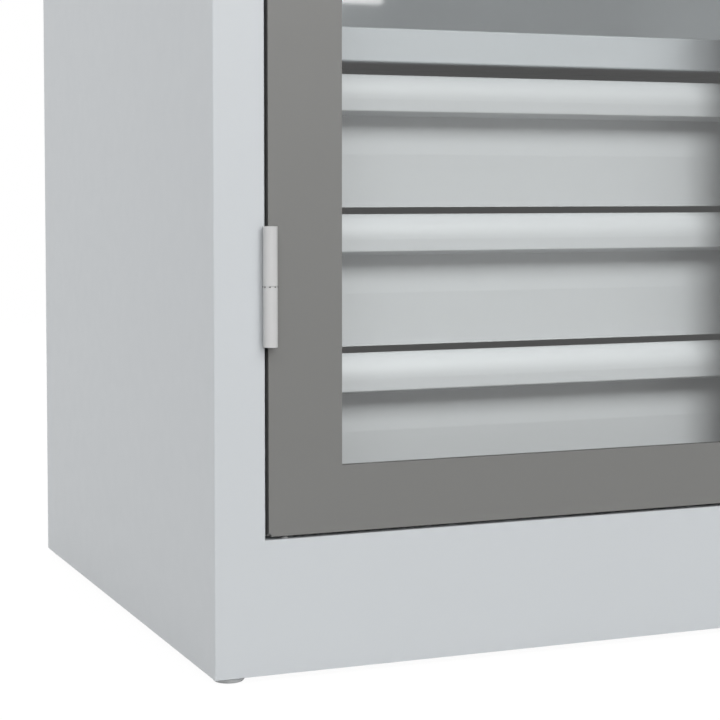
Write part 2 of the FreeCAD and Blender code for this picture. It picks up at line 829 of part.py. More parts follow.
def make_handle():
    """Plate on the door, turning handle with its spindle, and the lock cylinder in the grip."""
    plate_x = (spindle_x - c.plate_width / 2, spindle_x + c.plate_width / 2)
    plate_z = (spindle_z - c.plate_length / 2, spindle_z + c.plate_length / 2)
    centre = (spindle_x, spindle_z)
    plate = rounded("handle_plate_blank", plate_x, plate_z, front - c.plate_thickness, front,
                    c.plate_round)
    bore = bar("handle_plate_bore", "Y", centre, (front - c.plate_thickness, front),
               c.spindle_radius + c.fit_gap)
    node(carved("handle_plate_bored", plate, [bore]), "handle_plate")

    face = front - c.handle_reach
    grip_back = face + c.grip_depth
    hub_back = front - c.plate_thickness - c.running_gap
    grip_x = (spindle_x - c.grip_width / 2, spindle_x + c.grip_width / 2)
    grip_z = (spindle_z - c.grip_length / 2, spindle_z + c.grip_length / 2)
    grip = rounded("handle_grip", grip_x, grip_z, face, grip_back, c.grip_round)
    hub = bar("handle_hub", "Y", centre, (grip_back - c.grip_round, hub_back), c.hub_radius)
    cam_back = behind(c.door_depth + c.cam_gap + c.cam_thickness)
    spindle = bar("handle_spindle", "Y", centre, (grip_back, cam_back), c.spindle_radius)
    solid = fused("handle_solid", [grip, hub, spindle])
    seat = bar("cylinder_seat", "Y", centre, (face, face + c.cylinder_depth),
               c.cylinder_radius + c.fit_gap)
    node(carved("door_handle_bored", solid, [seat]), "door_handle")

    plug_face = face + c.running_gap
    plug_back = face + c.cylinder_depth - c.running_gap
    plug = bar("cylinder_plug", "Y", centre, (plug_face, plug_back), c.cylinder_radius)
    key_x = (spindle_x - c.key_slot_width / 2, spindle_x + c.key_slot_width / 2)
    key_z = (spindle_z - c.key_slot_length / 2, spindle_z + c.key_slot_length / 2)
    key = slab("key_slot", key_x, (plug_face, plug_back - c.key_slot_width), key_z)
    node(carved("lock_cylinder_cut", plug, [key]), "lock_cylinder")


def rounded(name, x, z, near, far, radius):
    """A plate seen from the front with all its edges rounded."""
    body = doc.addObject("PartDesign::Body", name)
    pad = front_pad(body, f"{name}_pad", x, z, near, far)
    doc.recompute()
    soft = body.newObject("PartDesign::Fillet", f"{name}_round")
    soft.Base = (pad, [""])
    soft.UseAllEdges = True
    bind(soft, "Radius", radius)
    return body


def make_cam():
    """Disc on the spindle with a crank pin for each rod."""
    cam_y = (behind(c.door_depth + c.cam_gap), behind(c.door_depth + c.cam_gap + c.cam_thickness))
    reach = c.crank_radius + 2 * c.crank_pin_radius
    disc = bar("cam_disc", "Y", (spindle_x, spindle_z), cam_y, reach)
    bore = bar("cam_bore", "Y", (spindle_x, spindle_z), cam_y, c.spindle_radius)
    offset = c.rod_throw / 2
    pins = []
    for name, way in (("left", -1), ("right", 1)):
        centre = (spindle_x + way * offset, spindle_z + way * offset)
        pins.append(bar(f"crank_pin_{name}", "Y", centre, (cam_y[1], rod_back), c.crank_pin_radius))
    node(fused("rod_cam", [carved("cam_plate", disc, [bore])] + pins), "rod_cam")


def make_rod(name, side):
    """Flat locking rod with a yoke on the crank pin. The upper one is on the left."""
    upward = side == LEFT
    y = (rod_front, rod_back)
    offset = c.rod_throw / 2
    slot_half = c.crank_pin_radius + c.yoke_play
    yoke_far = c.crank_radius + slot_half + c.yoke_wall
    yoke_near = c.rod_spread / 2
    pin_z = spindle_z - offset if upward else spindle_z + offset
    yoke_z = (pin_z - slot_half - c.yoke_wall, pin_z + slot_half + c.yoke_wall)
    slot_z = (pin_z - slot_half, pin_z + slot_half)
    slot_near = offset - slot_half
    slot_far = c.crank_radius + slot_half
    if upward:
        yoke_x = (spindle_x - yoke_far, spindle_x - yoke_near)
        slot_x = (spindle_x - slot_far, spindle_x - slot_near)
        rod_z = (pin_z + slot_half, door_z[1] - c.rod_set_back)
    else:
        yoke_x = (spindle_x + yoke_near, spindle_x + yoke_far)
        slot_x = (spindle_x + slot_near, spindle_x + slot_far)
        rod_z = (door_z[0] + c.rod_set_back, pin_z - slot_half)
    yoke = slab(f"{name}_yoke", yoke_x, y, yoke_z)
    strip = slab(f"{name}_strip", rod_span(side, 0), y, rod_z)
    slot = slab(f"{name}_slot", slot_x, y, slot_z)
    node(carved(f"{name}_cut", fused(f"{name}_blank", [yoke, strip]), [slot]), name)


def make_rod_guides():
    """Blocks on the stiffener that the rods run through."""
    guides = []
    reach = c.rod_spread + c.rod_width + c.yoke_wall
    block_x = (spindle_x - reach, spindle_x + reach)
    block_y = (behind(c.door_depth - c.door_sheet), rod_back + c.yoke_wall)
    low = door_z[0] + c.door_lip + c.guide_height
    high = door_z[1] - c.door_lip - c.guide_height
    for index, (side, z) in enumerate(((RIGHT, low), (LEFT, high))):
        span = (z - c.guide_height / 2, z + c.guide_height / 2)
        block = slab(f"guide_block_{index}", block_x, block_y, span)
        guides.append(carved(f"rod_guide_{index}", block,
                             [rod_passage(f"guide_slot_{index}", side, span)]))
    reach_z = c.plate_length / 2 + c.guide_height
    for index, (side, z) in enumerate(((RIGHT, spindle_z - reach_z), (LEFT, spindle_z + reach_z))):
        span = (z - c.guide_height / 2, z + c.guide_height / 2)
        block = slab(f"inner_guide_block_{index}", block_x, block_y, span)
        guides.append(carved(f"inner_rod_guide_{index}", block,
                             [rod_passage(f"inner_guide_slot_{index}", side, span)]))
    node(grouped("rod_guides", guides), "rod_guides")


# Drawers

front_x = (c.front_inset - half, half - c.front_inset)
recess_y = behind(c.front_setback + c.recess_depth)
tray_front = recess_y + c.front_sheet


def make_drawer_front(number, bottom):
    """Front folded from one sheet: a flat, a slope back to the finger recess, and over it a
    rounded grip closed from below."""
    name = f"drawer_front_{number}"
    skin = c.front_sheet
    flat_y = behind(c.front_setback)
    nose_y = behind(c.front_setback - c.grip_bar_forward) + skin
    top = bottom + c.front_height - skin
    grip_bottom = bottom + c.front_height - c.grip_bar_height + skin
    curve_start = recess_y - c.grip_bar_back
    curve_end = bottom + c.front_height - c.grip_bar_curve
    path = [
        (tray_front, bottom),
        (flat_y, bottom),
        (flat_y, bottom + c.crease_height),
        (recess_y, bottom + c.recess_height),
        (recess_y, top),
        (curve_start, top, "arc"),
        (nose_y, curve_end),
        (nose_y, grip_bottom),
        (recess_y - c.fit_gap, grip_bottom - c.grip_bar_fall),
    ]
    skin_piece = folded(name, "YZ", path, skin, *front_x)
    caps = []
    outline = [
        (tray_front, bottom),
        (flat_y, bottom),
        (flat_y, bottom + c.crease_height),
        (recess_y, bottom + c.recess_height),
        (recess_y, grip_bottom - c.grip_bar_fall),
        (nose_y, grip_bottom),
        (nose_y, curve_end),
        (curve_start, top),
        (tray_front, top),
    ]
    for side in (LEFT, RIGHT):
        caps.append(end_cap(f"{name}_cap_{SIDE_NAMES[side]}", side, outline, skin))
    node(fused(f"{name}_whole", [skin_piece] + caps), name)


def end_cap(name, side, outline, skin):
    body = doc.addObject("PartDesign::Body", name)
    start = front_x[0] if side == LEFT else front_x[1] - skin
    pad = body.newObject("PartDesign::Pad", f"{name}_pad")
    pad.Profile = body_sketch(body, f"{name}_sketch", "YZ_Plane", outline, start)
    bind(pad, "Length", skin)
    return body


def make_drawer_tray(number, bottom):
    """Open box behind the front."""
    skin = c.tray_sheet
    x = (c.tray_inset - half, half - c.tray_inset)
    y = (tray_front, back_inner - c.tray_back_gap)
    z = (bottom + c.tray_raise, bottom + c.tray_raise + c.tray_height)
    blank = slab(f"tray_blank_{number}", x, y, z)
    hollow = slab(f"tray_hollow_{number}", (x[0] + skin, x[1] - skin), (y[0] + skin, y[1] - skin),
                  (z[0] + skin, z[1]))
    node(carved(f"tray_{number}", blank, [hollow]), f"drawer_tray_{number}")


def make_runners(number, bottom):
    """Two-part ball runners on both sides of a drawer."""
    fixed = []
    moving = []
    cages = []
    for side in (LEFT, RIGHT):
        fixed_part, moving_part, cage_parts = runner(f"{number}_{SIDE_NAMES[side]}", side, bottom)
        fixed.append(fixed_part)
        moving.append(moving_part)
        cages += cage_parts
    node(grouped(f"fixed_runners_{number}", fixed), f"fixed_runners_{number}")
    node(grouped(f"moving_runners_{number}", moving), f"moving_runners_{number}")
    node(grouped(f"ball_cages_{number}", cages), f"ball_cages_{number}")


def runner(name, side, bottom):
    skin = c.runner_sheet
    y = (behind(c.runner_start), back_inner - c.runner_back_gap)
    outer_z = (bottom + c.runner_raise, bottom + c.runner_raise + c.runner_outer_height)
    ball_space = 2 * (c.ball_radius + c.ball_play)
    inner_z = (outer_z[0] + skin + ball_space, outer_z[1] - skin - ball_space)
    web = c.tray_inset - c.runner_space
    outer_face = across(side, web, web + skin)
    outer_flange = across(side, web, web + c.runner_outer_flange)
    inner_face = across(side, c.tray_inset - skin, c.tray_inset)
    inner_flange = across(side, c.tray_inset - c.runner_inner_flange, c.tray_inset)
    fixed = fused(f"fixed_runner_{name}", [
        slab(f"fixed_web_{name}", outer_face, y, outer_z),
        slab(f"fixed_low_{name}", outer_flange, y, (outer_z[0], outer_z[0] + skin)),
        slab(f"fixed_high_{name}", outer_flange, y, (outer_z[1] - skin, outer_z[1])),
    ])
    moving = fused(f"moving_runner_{name}", [
        slab(f"moving_web_{name}", inner_face, y, inner_z),
        slab(f"moving_low_{name}", inner_flange, y, (inner_z[0], inner_z[0] + skin)),
        slab(f"moving_high_{name}", inner_flange, y, (inner_z[1] - skin, inner_z[1])),
    ])
    middle = (y[0] + y[1]) / 2
    cage_y = (middle - c.cage_length / 2, middle + c.cage_length / 2)
    cage_near = c.tray_inset - c.runner_inner_flange - 2 * c.cage_sheet
    cage_far = web + c.runner_outer_flange
    ball_x = place(side, c.tray_inset - c.runner_inner_flange + c.ball_radius - c.cage_sheet)
    rows = (inner_z[0] - ball_space / 2, inner_z[1] + ball_space / 2)
    half_sheet = c.cage_sheet / 2
    strips = [slab(f"cage_back_{name}", across(side, cage_near, cage_near + c.cage_sheet), cage_y,
                   (rows[0] - half_sheet, rows[1] + half_sheet))]
    for index, z in enumerate(rows):
        strips.append(slab(f"cage_row_{name}_{index}", across(side, cage_near, cage_far), cage_y,
                           (z - half_sheet, z + half_sheet)))
    pockets = []
    balls = []
    for index, z in enumerate(rows):
        for step in range(BALLS_PER_ROW):
            y_place = middle + (step - (BALLS_PER_ROW - 1) / 2) * c.ball_pitch
            pockets.append(bar(f"cage_pocket_{name}_{index}_{step}", "Z", (ball_x, y_place),
                               (z - half_sheet, z + half_sheet), c.ball_radius + c.ball_play))
            ball = doc.addObject("Part::Sphere", f"ball_{name}_{index}_{step}")
            bind(ball, "Radius", c.ball_radius)
            bind(ball, "Placement.Base.x", ball_x)
            bind(ball, "Placement.Base.y", y_place)
            bind(ball, "Placement.Base.z", z)
            balls.append(ball)
    cage = carved(f"ball_cage_{name}", fused(f"cage_blank_{name}", strips), pockets)
    return fixed, moving, [cage] + balls


def make_runner_posts(side):
    """Two channels beside the drawers that carry the fixed runners and the shelf."""
    posts = []
    top = level(c.shelf_top) - c.shelf_sheet
    web = c.tray_inset - c.runner_space
    rear = back_inner - c.post_back_gap - c.post_depth
    for name, start in (("front", behind(c.post_front)), ("rear", rear)):
        y = (start, start + c.post_depth)
        path = [
            (place(side, c.wall), y[0] + c.wall),
            (place(side, web - c.wall), y[0] + c.wall),
            (place(side, web - c.wall), y[1] - c.wall),
            (place(side, c.wall), y[1] - c.wall),
        ]
        if side == RIGHT:
            path.reverse()
        label = f"runner_post_{name}_{SIDE_NAMES[side]}"
        posts.append(folded(label, "XY", path, c.wall, opening_bottom, top))
    label = f"runner_posts_{SIDE_NAMES[side]}"
    node(grouped(label, posts), label)


# Shelves

def make_shelf(name, side_gap, top):
    """Sheet turned down and under at the front and the back."""
    skin = c.shelf_sheet
    y = (behind(c.shelf_setback), back_inner - c.shelf_back_gap)
    z = top - c.shelf_height
    path = [
        (y[0] + c.shelf_lip, z + skin),
        (y[0] + skin, z + skin),
        (y[0] + skin, top - skin),
        (y[1] - skin, top - skin),
        (y[1] - skin, z + skin),
        (y[1] - c.shelf_lip, z + skin),
    ]
    path.reverse()
    node(folded(name, "YZ", path, skin, side_gap - half, half - side_gap), name)


def make_uprights():
    """Slotted strips on the side walls, and the clips that hook in them under the shelf."""
    clips = []
    start = level(c.shelf_top)
    stop = opening_top - c.slot_pitch
    rear = back_inner - c.upright_back_gap - c.upright_width
    for side in (LEFT, RIGHT):
        uprights = []
        for name, y_near in (("front", behind(c.upright_front)), ("rear", rear)):
            label = f"shelf_upright_{name}_{SIDE_NAMES[side]}"
            uprights.append(make_upright(label, side, y_near, start, stop))
            clips.append(make_clip(f"shelf_clip_{name}_{SIDE_NAMES[side]}", side, y_near, start))
        label = f"shelf_uprights_{SIDE_NAMES[side]}"
        node(grouped(label, uprights), label)
    node(grouped("shelf_clips", clips), "shelf_clips")


def make_upright(label, side, y_near, start, stop):
    skin = c.wall
    y = (y_near, y_near + c.upright_width)
    face = c.wall + c.upright_depth
    body = doc.addObject("PartDesign::Body", label)
    near = place(side, c.wall)
    far = place(side, face)
    inner = place(side, face - skin)
    outline = [
        (near, y[0]),
        (far, y[0]),
        (far, y[1]),
        (near, y[1]),
        (near, y[1] - skin),
        (inner, y[1] - skin),
        (inner, y[0] + skin),
        (near, y[0] + skin),
    ]
    pad = body.newObject("PartDesign::Pad", f"{label}_pad")
    pad.Profile = body_sketch(body, f"{label}_sketch", "XY_Plane", outline, start)
    bind(pad, "Length", stop - start)
    doc.recompute()
    middle = (y[0] + y[1]) / 2
    first = start + c.slot_pitch
    slot = [
        (middle - c.slot_width / 2, first - c.slot_height / 2),
        (middle + c.slot_width / 2, first - c.slot_height / 2),
        (middle + c.slot_width / 2, first + c.slot_height / 2),
        (middle - c.slot_width / 2, first + c.slot_height / 2),
    ]
    low_x = inner if side == LEFT else far
    pocket = body.newObject("PartDesign::Pocket", f"{label}_slot")
    pocket.Profile = body_sketch(body, f"{label}_slot_sketch", "YZ_Plane", slot, low_x)
    bind(pocket, "Length", skin)
    pocket.Reversed = True
    doc.recompute()
    pattern = body.newObject("PartDesign::LinearPattern", f"{label}_slots")
    pattern.Originals = [pocket]
    pattern.Direction = (origin_plane(body, "Z_Axis"), [""])
    copies = int((stop - start).value // c.slot_pitch.value) - 1
    bind(pattern, "Length", (copies - 1) * c.slot_pitch)
    pattern.Occurrences = copies
    body.Tip = pattern
    return body


def make_clip(label, side, y_near, start):
    """Angle under the shelf with a tongue through one slot of the upright."""
    face = c.wall + c.upright_depth
    middle = y_near + c.upright_width / 2
    y = (middle - c.clip_width / 2, middle + c.clip_width / 2)
    top = level(c.upper_shelf_top) - c.shelf_sheet
    leg = slab(f"{label}_leg", across(side, face, face + c.clip_sheet), y, (top - c.clip_drop, top))
    arm = slab(f"{label}_arm", across(side, face, face + c.clip_reach), y, (top - c.clip_sheet, top))
    steps = math.floor((top - start - c.clip_drop / 2).value / c.slot_pitch.value)
    slot_z = start + steps * c.slot_pitch
    tongue_y = (middle - c.slot_width / 2 + c.guide_play, middle + c.slot_width / 2 - c.guide_play)
    tongue_z = (slot_z - c.slot_height / 2 + c.guide_play, slot_z + c.slot_height / 2 - c.guide_play)
    tongue = slab(f"{label}_tongue", across(side, face - c.wall - c.clip_sheet, face),
                  tongue_y, tongue_z)
    return fused(label, [leg, arm, tongue])


def build():
    for side in (LEFT, RIGHT):
        make_side_panel(side)
    make_back_panel()
    make_top_panel()
    make_plinth()
    make_bottom_panel()
    make_feet()
    for side in (LEFT, RIGHT):
        make_door_panel(side)
        make_stiffener(side)
        make_glazing(side)
    make_hinges()
    make_stops()
    make_handle()
    make_cam()
    make_rod("upper_locking_rod", LEFT)
    make_rod("lower_locking_rod", RIGHT)
    make_rod_guides()
    for number in range(1, DRAWER_COUNT + 1):
        bottom = level(c.drawer_bottom + (number - 1) * c.drawer_pitch)
        make_drawer_front(number, bottom)
        make_drawer_tray(number, bottom)
        make_runners(number, bottom)
    for side in (LEFT, RIGHT):
        make_runner_posts(side)
    make_shelf("drawer_shelf", c.wall, level(c.shelf_top))
    side_room = c.wall + c.upright_depth + c.clip_sheet + c.upper_shelf_gap
    make_shelf("upper_shelf", side_room, level(c.upper_shelf_top))
    make_uprights()
    doc.recompute()


def check():
    """Stop before any file is written if an object failed or a piece isn't sound."""
    for thing in doc.Objects:
        broken = [word for word in thing.State if word in ("Invalid", "Error")]
        if broken:
            raise RuntimeError(f"{thing.Name} ({thing.Label}) is {broken}")
    for piece in nodes:
        shape = piece.Shape
        if shape.isNull() or not shape.isValid() or not shape.Solids:
            raise RuntimeError(f"{piece.Label} has no sound shape")


build()
check()
os.makedirs("parts", exist_ok=True)
for piece in nodes:
    piece.Shape.exportStep(f"parts/{piece.Label}.step")
print(len(nodes), "nodes")
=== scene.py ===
import math

import bmesh
import bpy
from mathutils import Matrix, Vector


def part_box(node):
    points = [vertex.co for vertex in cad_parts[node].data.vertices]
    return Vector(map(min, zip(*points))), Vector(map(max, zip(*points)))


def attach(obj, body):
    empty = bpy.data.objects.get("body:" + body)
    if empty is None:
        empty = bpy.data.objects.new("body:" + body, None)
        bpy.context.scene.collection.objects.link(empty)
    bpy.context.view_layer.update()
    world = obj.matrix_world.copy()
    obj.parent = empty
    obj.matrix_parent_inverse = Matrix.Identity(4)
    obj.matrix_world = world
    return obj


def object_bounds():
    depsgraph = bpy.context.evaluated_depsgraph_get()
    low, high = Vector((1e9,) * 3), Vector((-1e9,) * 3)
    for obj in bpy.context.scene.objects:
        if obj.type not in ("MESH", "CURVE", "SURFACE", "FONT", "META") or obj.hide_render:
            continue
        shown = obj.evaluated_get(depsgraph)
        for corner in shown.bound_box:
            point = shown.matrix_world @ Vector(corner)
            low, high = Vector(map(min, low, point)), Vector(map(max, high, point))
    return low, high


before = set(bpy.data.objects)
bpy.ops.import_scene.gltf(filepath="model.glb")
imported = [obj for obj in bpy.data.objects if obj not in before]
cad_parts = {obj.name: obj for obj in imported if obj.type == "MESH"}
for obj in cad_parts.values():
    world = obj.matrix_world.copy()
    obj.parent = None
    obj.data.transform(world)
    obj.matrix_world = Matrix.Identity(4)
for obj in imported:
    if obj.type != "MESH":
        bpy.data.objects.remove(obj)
cad_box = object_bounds()

MM = 0.001

# Camera, placed from the casing's lower front corner on the left
LENS = 92.55
SENSOR_WIDTH = 36.0
CAMERA_YAW = math.radians(22.273)
CAMERA_PITCH = math.radians(3.022)
CAMERA_SHIFT = -0.1
CAMERA_FROM_CORNER = Vector((-0.373, -1.1658, 0.3272))
CAMERA_CLIP = (0.01, 100)

# Black beads in the split of each hinge, painted shade
BEAD_RADIUS = 0.6 * MM
BEAD_HALF_HEIGHT = 0.39 * MM
BEAD_COUNT = 8
BEAD_DETAIL = 2
WASHER_HEIGHT = 0.8 * MM

# Light levels and the floor
WORLD_LEVEL = 0.05
BACKDROP_LEVEL = 1.0
FLOOR_COLOUR = (0.5, 0.5, 0.5)
FLOOR_WHITENESS = 0.88
FLOOR_GLOW = 1.09
FLOOR_RADIUS = 4.0
FLOOR_FADE = (1.6, 3.6)
FLOOR_CORNERS = 96

# Soft boxes: name, azimuth and elevation in degrees, distance, width and height in metres, watts
LAMP_AIM = Vector((0, -0.23, 0.5))
LAMPS = (
    ("left_key", -32, 38, 6.0, 3.2, 2.4, 90),
    ("top_key", 0, 62, 7.0, 3.0, 3.0, 40),
    ("left_fill", -100, 25, 3.6, 2.0, 2.0, 52),
    ("right_fill", 100, 26, 3.6, 2.0, 2.0, 48),
    ("back_fill", 170, 30, 4.2, 2.6, 2.0, 90),
)

# Drawer fronts from below, the lamps that leave them out, and those for the lowest so many
DRAWER_FRONTS = ("drawer_front_1", "drawer_front_2", "drawer_front_3")
CASING_LAMPS = (
    ("right_key", 22, 38, 6.0, 3.2, 2.4, 106),
    ("low_fill", 0, 14, 5.5, 4.0, 1.6, 122),
)
DRAWER_LAMPS = (
    (3, ("drawer_key", -8, 45, 5.0, 2.0, 2.4, 235)),
    (2, ("lower_drawer_key", -6, 60, 5.0, 2.0, 1.6, 28)),
    (1, ("lowest_drawer_key", -6, 62, 5.0, 2.0, 1.6, 24)),
)

# Paint and plastic colours as sRGB
CASING_GREY = (201, 205, 208)
DRAWER_GREY = (193, 195, 197)
SHELF_GREY = (190, 194, 198)
DOOR_GREY = (114, 114, 112)
HINGE_GREY = (200, 200, 200)
FOOT_GREY = (204, 206, 207)
BLACK_PLASTIC = (46, 47, 49)
GLIDE_WHITE = (226, 228, 228)
RUBBER_BLACK = (40, 41, 42)
ZINC_GREY = (196, 198, 196)
STEEL_GREY = (168, 169, 170)
CHROME_GREY = (222, 223, 224)

# Middle range of a noise, and how alike two normals are on an open face and at a sharp edge
NOISE_MIDDLE = (0.3, 0.7)
EDGE_SAMPLES = 4
EDGE_NORMALS = (0.995, 0.85)

# Powder paint
PAINT_CLOUDS = 90 * MM
PAINT_DRIFT = 0.007
PAINT_EDGE = 0.5 * MM
PAINT_GLOSS_PATCH = 14 * MM
PAINT_GLOSS_SPREAD = 0.03

# Plated and bright steel
SPANGLE_SIZE = 5 * MM
STEEL_EDGE = 0.3 * MM
# How much lighter the painted highlight on sharp steel edges is
STEEL_EDGE_HIGHLIGHT = 1.15
STEEL_GLOSS_PATCH = 2 * MM
STEEL_GLOSS_SPREAD = (0.07, 0.09)
STEEL_GRAIN = 0.6 * MM
STEEL_GRAIN_DEPTH = 0.004 * MM

# Moulded plastic
PLASTIC_CLOUDS = 11 * MM
PLASTIC_DRIFT = 0.05
PLASTIC_EDGE = 0.4 * MM
PLASTIC_GLOSS_PATCH = 3 * MM
PLASTIC_GLOSS_SPREAD = 0.05
PLASTIC_IOR = 1.48

# Clear sheet
SHEET_IOR = 1.52
SHEET_MIRRORS = 1.8
SHEET_TINT = (0.985, 0.992, 0.989, 1)
SHEET_PATCH = 60 * MM
SHEET_MIRROR_TINTS = ((0.97, 0.97, 0.97, 1), (1, 1, 1, 1))
SHEET_GLOSS = (0.015, 0.03)


def linear(srgb):
    """An sRGB colour of 0 to 255 as the linear RGBA that shaders take."""
    shares = [value / 255 for value in srgb]
    channels = [s / 12.92 if s <= 0.04045 else ((s + 0.055) / 1.055) ** 2.4 for s in shares]
    return (*channels, 1.0)


def scaled(colour, factor):
    """A linear colour made lighter or darker."""
    return (*[min(1.0, channel * factor) for channel in colour[:3]], 1.0)


class Finish:
    """A node material in the making, with helpers that add nodes and link them."""

    def __init__(self, name):
        self.material = bpy.data.materials.new(name)
        self.material.use_nodes = True
        self.nodes = self.material.node_tree.nodes
        self.links = self.material.node_tree.links
        self.nodes.clear()
        self.output = self.add("ShaderNodeOutputMaterial")
        self.shader = self.add("ShaderNodeBsdfPrincipled")
        self.links.new(self.shader.outputs["BSDF"], self.output.inputs["Surface"])
        self.place = self.add("ShaderNodeTexCoord").outputs["Object"]

    def add(self, kind, **settings):
        node = self.nodes.new(kind)
        for key, value in settings.items():
            setattr(node, key, value)
        return node

    def set(self, **values):
        """Sets plain values on the shader's own sockets, with _ for a space in their names."""
        for key, value in values.items():
            self.shader.inputs[key.replace("_", " ")].default_value = value

    def noise(self, size, detail=2.0, stretch=(1, 1, 1)):
        """A noise from 0 to 1 whose features are about size metres wide."""
        mapping = self.add("ShaderNodeMapping")
        mapping.inputs["Scale"].default_value = stretch
        self.links.new(self.place, mapping.inputs["Vector"])
        noise = self.add("ShaderNodeTexNoise")
        noise.inputs["Scale"].default_value = 1 / size
        noise.inputs["Detail"].default_value = detail
        self.links.new(mapping.outputs["Vector"], noise.inputs["Vector"])
        return noise.outputs["Fac"]

    def between(self, factor, low, high):
        """A number that runs from low to high as the factor's middle range does."""
        ramp = self.add("ShaderNodeMapRange")
        ramp.inputs["From Min"].default_value = NOISE_MIDDLE[0]
        ramp.inputs["From Max"].default_value = NOISE_MIDDLE[1]
        ramp.inputs["To Min"].default_value = low
        ramp.inputs["To Max"].default_value = high
        self.links.new(factor, ramp.inputs["Value"])
        return ramp.outputs["Result"]

    def mixed(self, factor, colour, other):
        """A colour between two colours, each a plain colour or a socket."""
        mix = self.add("ShaderNodeMix", data_type="RGBA")
        self.links.new(factor, mix.inputs["Factor"])
        for socket, value in ((mix.inputs[6], colour), (mix.inputs[7], other)):
            if isinstance(value, tuple):
                socket.default_value = value
            else:
                self.links.new(value, socket)
        return mix.outputs[2]

    def edge_factor(self, radius):
        """About 0 on open faces and up to 1 at edges sharper than the radius."""
        rounded = self.add("ShaderNodeBevel", samples=EDGE_SAMPLES)
        rounded.inputs["Radius"].default_value = radius
        surface = self.add("ShaderNodeNewGeometry")
        product = self.add("ShaderNodeVectorMath", operation="DOT_PRODUCT")
        self.links.new(rounded.outputs["Normal"], product.inputs[0])
        self.links.new(surface.outputs["Normal"], product.inputs[1])
        ramp = self.add("ShaderNodeMapRange")
        ramp.inputs["From Min"].default_value = EDGE_NORMALS[0]
        ramp.inputs["From Max"].default_value = EDGE_NORMALS[1]
        self.links.new(product.outputs["Value"], ramp.inputs["Value"])
        return ramp.outputs["Result"]

    def bump(self, height, depth):
        """Raises the surface by up to depth metres where the height is 1."""
        bump = self.add("ShaderNodeBump")
        bump.inputs["Strength"].default_value = 1.0
        bump.inputs["Distance"].default_value = depth
        self.links.new(height, bump.inputs["Height"])
        self.links.new(bump.outputs["Normal"], self.shader.inputs["Normal"])

    def colour(self, socket):
        self.links.new(socket, self.shader.inputs["Base Color"])

    def roughness(self, socket):
        self.links.new(socket, self.shader.inputs["Roughness"])


def powder_coat(name, srgb, roughness=0.42, ior=1.5, grain=0.9 * MM, depth=0.003 * MM, edge_highlight=None):
    """Baked powder paint: even colour and a faint orange peel, with a painted highlight that makes
    sharp edges lighter where asked.
    """
    finish = Finish(name)
    base = linear(srgb)
    clouds = finish.noise(PAINT_CLOUDS, 3)
    film = finish.mixed(clouds, scaled(base, 1 - PAINT_DRIFT), scaled(base, 1 + PAINT_DRIFT))
    # Painted highlight: sharp edges lighter, as if they caught the light
    if edge_highlight:
        film = finish.mixed(finish.edge_factor(PAINT_EDGE), film, scaled(base, edge_highlight))
    finish.colour(film)
    patches = finish.noise(PAINT_GLOSS_PATCH)
    spread = PAINT_GLOSS_SPREAD
    finish.roughness(finish.between(patches, roughness - spread, roughness + spread))
    finish.bump(finish.noise(grain, 1), depth)
    finish.set(IOR=ior)
    return finish.material


def plated_steel(name, srgb, roughness=0.3, stretch=(1, 1, 1), mottle=0.08):
    """Zinc-plated or bright steel: a metal with soft spangle, uneven gloss and a painted highlight on
    sharp edges.
    """
    finish = Finish(name)
    base = linear(srgb)
    spangle = finish.noise(SPANGLE_SIZE, 3, stretch)
    film = finish.mixed(spangle, scaled(base, 1 - mottle), scaled(base, 1 + mottle))
    # Painted highlight: sharp edges lighter, as if they caught the light
    highlighted_edge = scaled(base, STEEL_EDGE_HIGHLIGHT)
    finish.colour(finish.mixed(finish.edge_factor(STEEL_EDGE), film, highlighted_edge))
    patches = finish.noise(STEEL_GLOSS_PATCH, 3, stretch)
    less, more = STEEL_GLOSS_SPREAD
    finish.roughness(finish.between(patches, roughness - less, roughness + more))
    finish.bump(finish.noise(STEEL_GRAIN, 2, stretch), STEEL_GRAIN_DEPTH)
    finish.set(Metallic=1.0)
    return finish.material


def moulded_plastic(name, srgb, roughness=0.45, grain=0.5 * MM, depth=0.012 * MM, edge_highlight=1.15):
    """Moulded plastic with a fine eroded texture and a painted highlight that lightens sharp edges."""
    finish = Finish(name)
    base = linear(srgb)
    clouds = finish.noise(PLASTIC_CLOUDS, 2)
    film = finish.mixed(clouds, scaled(base, 1 - PLASTIC_DRIFT), scaled(base, 1 + PLASTIC_DRIFT))
    # Painted highlight: sharp edges lighter, as if they caught the light
    finish.colour(finish.mixed(finish.edge_factor(PLASTIC_EDGE), film, scaled(base, edge_highlight)))
    patches = finish.noise(PLASTIC_GLOSS_PATCH)
    spread = PLASTIC_GLOSS_SPREAD
    finish.roughness(finish.between(patches, roughness - spread, roughness + spread))
    finish.bump(finish.noise(grain, 3), depth)
    finish.set(IOR=PLASTIC_IOR)
    return finish.material


